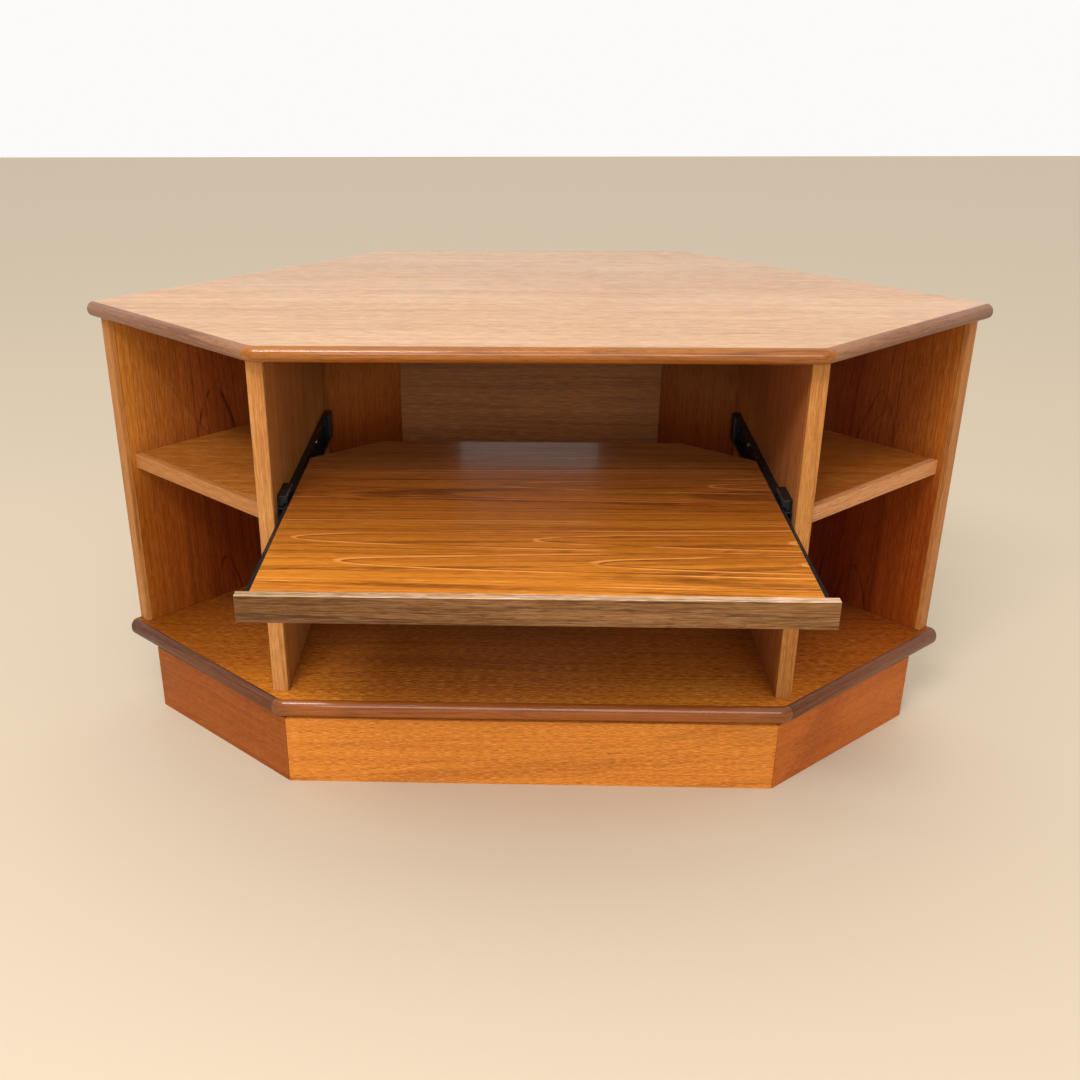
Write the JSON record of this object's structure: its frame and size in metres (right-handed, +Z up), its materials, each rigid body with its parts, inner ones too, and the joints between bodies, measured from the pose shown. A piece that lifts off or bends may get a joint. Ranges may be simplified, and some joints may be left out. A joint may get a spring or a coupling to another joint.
{
  "type": "tv stand",
  "caption": "Low six-sided corner media unit in teak with open side cubbies, a recessed plinth and a central shelf that pulls out on roller runners.",
  "frame": {"origin": "bottom centre of the bounding box of the whole unit as stored, with the shelf pulled out: on the floor, on the centre line, 164 mm behind the front edge of the top", "axes": "+X to the viewer's right along the front edge, +Y back towards the room's corner, +Z up"},
  "size_m": [1.04, 0.69, 0.527],
  "materials": {
    "top_teak": "teak veneer, satin lacquer",
    "lip_teak": "solid teak, rounded and lacquered",
    "panel_teak": "teak veneer, satin lacquer",
    "edge_teak": "solid light teak lipping, satin",
    "plinth_teak": "orange-brown teak veneer, satin",
    "shelf_teak": "figured teak veneer, gloss lacquer",
    "strip_walnut": "dark grey-brown hardwood, satin",
    "runner_black": "black powder-coated steel",
    "guide_black": "black moulded plastic",
    "nylon_white": "off-white nylon",
    "zinc_steel": "zinc-plated steel"
  },
  "bodies": {
    "cabinet": {"top_panel": "top_teak", "top_lipping_front": "lip_teak", "top_lipping_right": "lip_teak", "top_lipping_left": "lip_teak", "base_panel": "panel_teak", "base_lipping_front": "lip_teak", "base_lipping_right": "lip_teak", "base_lipping_left": "lip_teak", "plinth_front": "plinth_teak", "plinth_right": "plinth_teak", "plinth_wall_right": "plinth_teak", "plinth_back": "plinth_teak", "plinth_wall_left": "plinth_teak", "plinth_left": "plinth_teak", "plinth_block_right": "plinth_teak", "plinth_block_left": "plinth_teak", "divider_right": "panel_teak", "divider_left": "panel_teak", "divider_lipping_right": "edge_teak", "divider_lipping_left": "edge_teak", "wall_panel_right": "panel_teak", "wall_panel_left": "panel_teak", "wall_lipping_right": "edge_teak", "wall_lipping_left": "edge_teak", "corner_shelf_right": "panel_teak", "corner_shelf_left": "panel_teak", "corner_shelf_lipping_right": "edge_teak", "corner_shelf_lipping_left": "edge_teak", "shelf_peg_1_right": "zinc_steel", "shelf_peg_1_left": "zinc_steel", "shelf_peg_2_right": "zinc_steel", "shelf_peg_2_left": "zinc_steel", "shelf_peg_3_right": "zinc_steel", "shelf_peg_3_left": "zinc_steel", "fixed_rail_right": "runner_black", "fixed_rail_left": "runner_black", "front_pin_right": "zinc_steel", "front_pin_left": "zinc_steel", "front_guide_right": "guide_black", "front_guide_left": "guide_black", "rear_buffer_right": "guide_black", "rear_buffer_left": "guide_black", "rail_screw_1_right": "zinc_steel", "rail_screw_1_left": "zinc_steel", "rail_screw_2_right": "zinc_steel", "rail_screw_2_left": "zinc_steel", "back_panel": "panel_teak"},
    "pullout_shelf": {"pullout_board": "shelf_teak", "pullout_strip": "strip_walnut", "moving_rail_right": "runner_black", "rear_pin_right": "zinc_steel", "moving_rail_left": "runner_black", "rear_pin_left": "zinc_steel"},
    "front_roller_right": {"front_roller_right": "nylon_white"},
    "front_roller_left": {"front_roller_left": "nylon_white"},
    "rear_roller_right": {"rear_roller_right": "nylon_white"},
    "rear_roller_left": {"rear_roller_left": "nylon_white"}
  },
  "joints": [
    {"name": "shelf_slide", "type": "slide", "parent": "cabinet", "child": "pullout_shelf", "axis": [0, -1, 0], "range_m": [-0.206, 0.065]},
    {"name": "front_roller_right_spin", "type": "hinge", "parent": "cabinet", "child": "front_roller_right", "pos_m": [0.2758, -0.114, 0.318], "axis": [1, 0, 0], "continuous": true},
    {"name": "front_roller_left_spin", "type": "hinge", "parent": "cabinet", "child": "front_roller_left", "pos_m": [-0.2758, -0.114, 0.318], "axis": [1, 0, 0], "continuous": true},
    {"name": "rear_roller_right_spin", "type": "hinge", "parent": "pullout_shelf", "child": "rear_roller_right", "pos_m": [0.2758, -0.021, 0.3097], "axis": [1, 0, 0], "continuous": true},
    {"name": "rear_roller_left_spin", "type": "hinge", "parent": "pullout_shelf", "child": "rear_roller_left", "pos_m": [-0.2758, -0.021, 0.3097], "axis": [1, 0, 0], "continuous": true}
  ],
  "couplings": [
    {"joint": "front_roller_right_spin", "follows": "shelf_slide", "rad_per_m": 125},
    {"joint": "front_roller_left_spin", "follows": "shelf_slide", "rad_per_m": 125},
    {"joint": "rear_roller_right_spin", "follows": "shelf_slide", "rad_per_m": 125},
    {"joint": "rear_roller_left_spin", "follows": "shelf_slide", "rad_per_m": 125}
  ]
}
